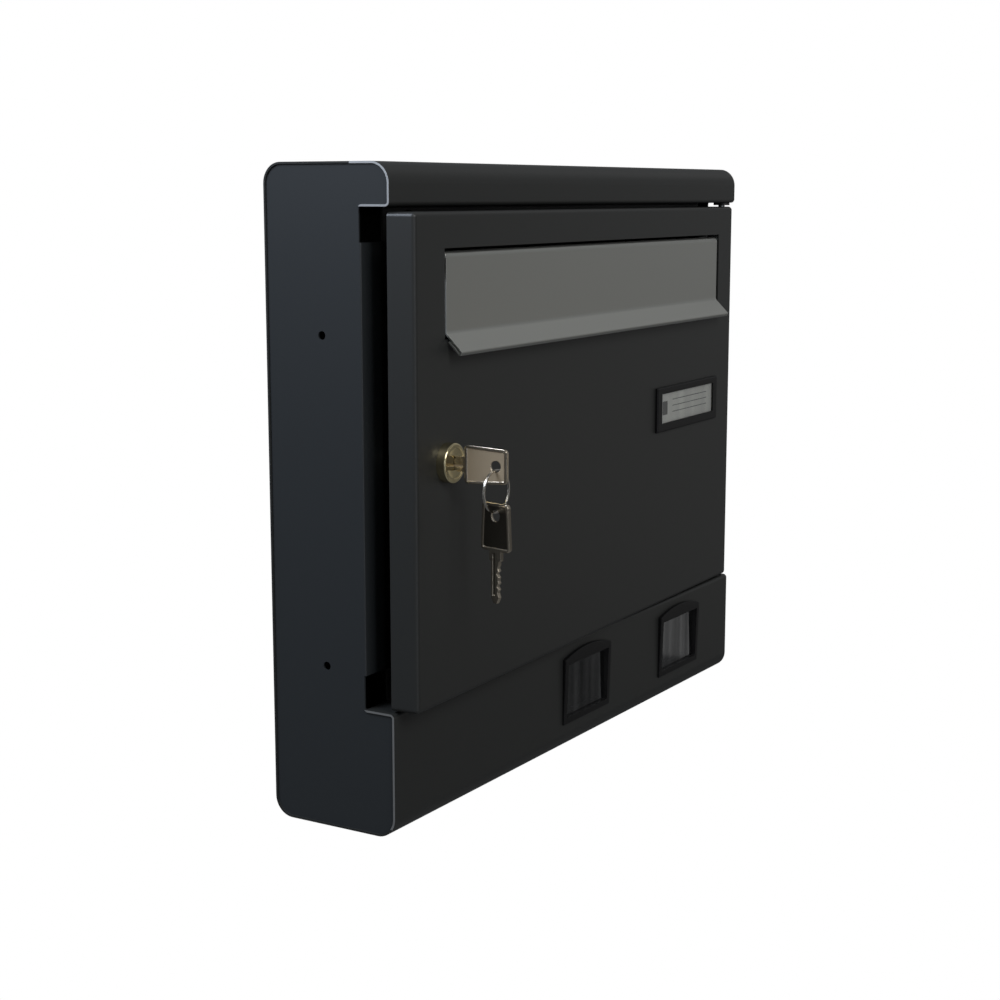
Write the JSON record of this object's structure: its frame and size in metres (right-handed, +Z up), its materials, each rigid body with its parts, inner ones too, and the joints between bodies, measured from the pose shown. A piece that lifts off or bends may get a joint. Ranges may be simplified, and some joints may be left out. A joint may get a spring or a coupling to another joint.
{
  "type": "wall mounted mailbox",
  "caption": "Shallow wall mailbox of folded steel with a side-hung door, a hinged letter flap, a cam lock with keys on a ring, a name plate and framed viewing windows.",
  "frame": {"origin": "centre of the back face in the wall plane, which is the centre of the wall screw holes", "axes": "+X to the right along the wall seen from the street, +Y into the wall, +Z up"},
  "size_m": [0.38, 0.1198, 0.321],
  "materials": {
    "coat": "fine textured powder coat, satin",
    "side_coat": "fine textured powder coat, satin",
    "satin_steel": "satin",
    "zinc_steel": "zinc plated",
    "bright_steel": "bright nickel plated wire",
    "lock_nickel": "polished, slightly yellow nickel plate",
    "key_nickel": "nickel plated brass",
    "black_plastic": "satin moulded",
    "clear_plastic": "clear",
    "bush_plastic": "moulded",
    "rubber": "matte",
    "card": "matte"
  },
  "bodies": {
    "casing": {"casing_wrap": "coat", "left_side_panel": "side_coat", "right_side_panel": "side_coat", "window_frame_centre": "black_plastic", "window_pane_centre": "clear_plastic", "window_frame_right": "black_plastic", "window_pane_right": "clear_plastic", "upper_hinge_bush": "bush_plastic", "lower_hinge_bush": "bush_plastic", "upper_door_buffer": "rubber", "lower_door_buffer": "rubber"},
    "door": {"door_panel": "coat", "upper_hinge_pin": "zinc_steel", "lower_hinge_pin": "zinc_steel", "flap_bracket_left": "zinc_steel", "flap_bracket_right": "zinc_steel", "flap_rod": "zinc_steel", "nameplate_frame": "black_plastic", "nameplate_card": "card", "nameplate_cover": "clear_plastic", "lock_body": "lock_nickel", "lock_washer": "zinc_steel", "lock_nut": "zinc_steel"},
    "flap": {"letter_flap": "satin_steel"},
    "plug": {"lock_plug": "lock_nickel", "lock_cam": "zinc_steel", "cam_washer": "zinc_steel", "cam_screw": "zinc_steel"},
    "key": {"key_in_lock": "key_nickel"},
    "ring": {"key_ring": "bright_steel"},
    "spare": {"spare_key": "key_nickel"}
  },
  "joints": [
    {"name": "door_hinge", "type": "hinge", "parent": "casing", "child": "door", "pos_m": [0.184, -0.066, 0], "axis": [0, 0, 1], "range_deg": [-1.9, 118]},
    {"name": "flap_hinge", "type": "hinge", "parent": "door", "child": "flap", "pos_m": [0.00019, -0.0747, 0.1163], "axis": [-0.9995, -0.0332, 0], "range_deg": [0, 104]},
    {"name": "lock_turn", "type": "hinge", "parent": "door", "child": "plug", "pos_m": [-0.16061, -0.08343, 0.02], "axis": [-0.0332, 0.9995, 0], "range_deg": [0, 90]},
    {"name": "key_draw", "type": "slide", "parent": "plug", "child": "key", "axis": [0.0332, -0.9995, 0], "range_m": [0, 0.021]},
    {"name": "ring_swing", "type": "hinge", "parent": "key", "child": "ring", "pos_m": [-0.15971, -0.11052, 0.0183], "axis": [-0.9974, 0.0715, 0], "range_deg": [-15, 60]},
    {"name": "spare_key_swing", "type": "hinge", "parent": "ring", "child": "spare", "pos_m": [-0.15971, -0.11052, 0.0083], "axis": [-0.0715, -0.9974, 0], "range_deg": [-95, 95]}
  ]
}
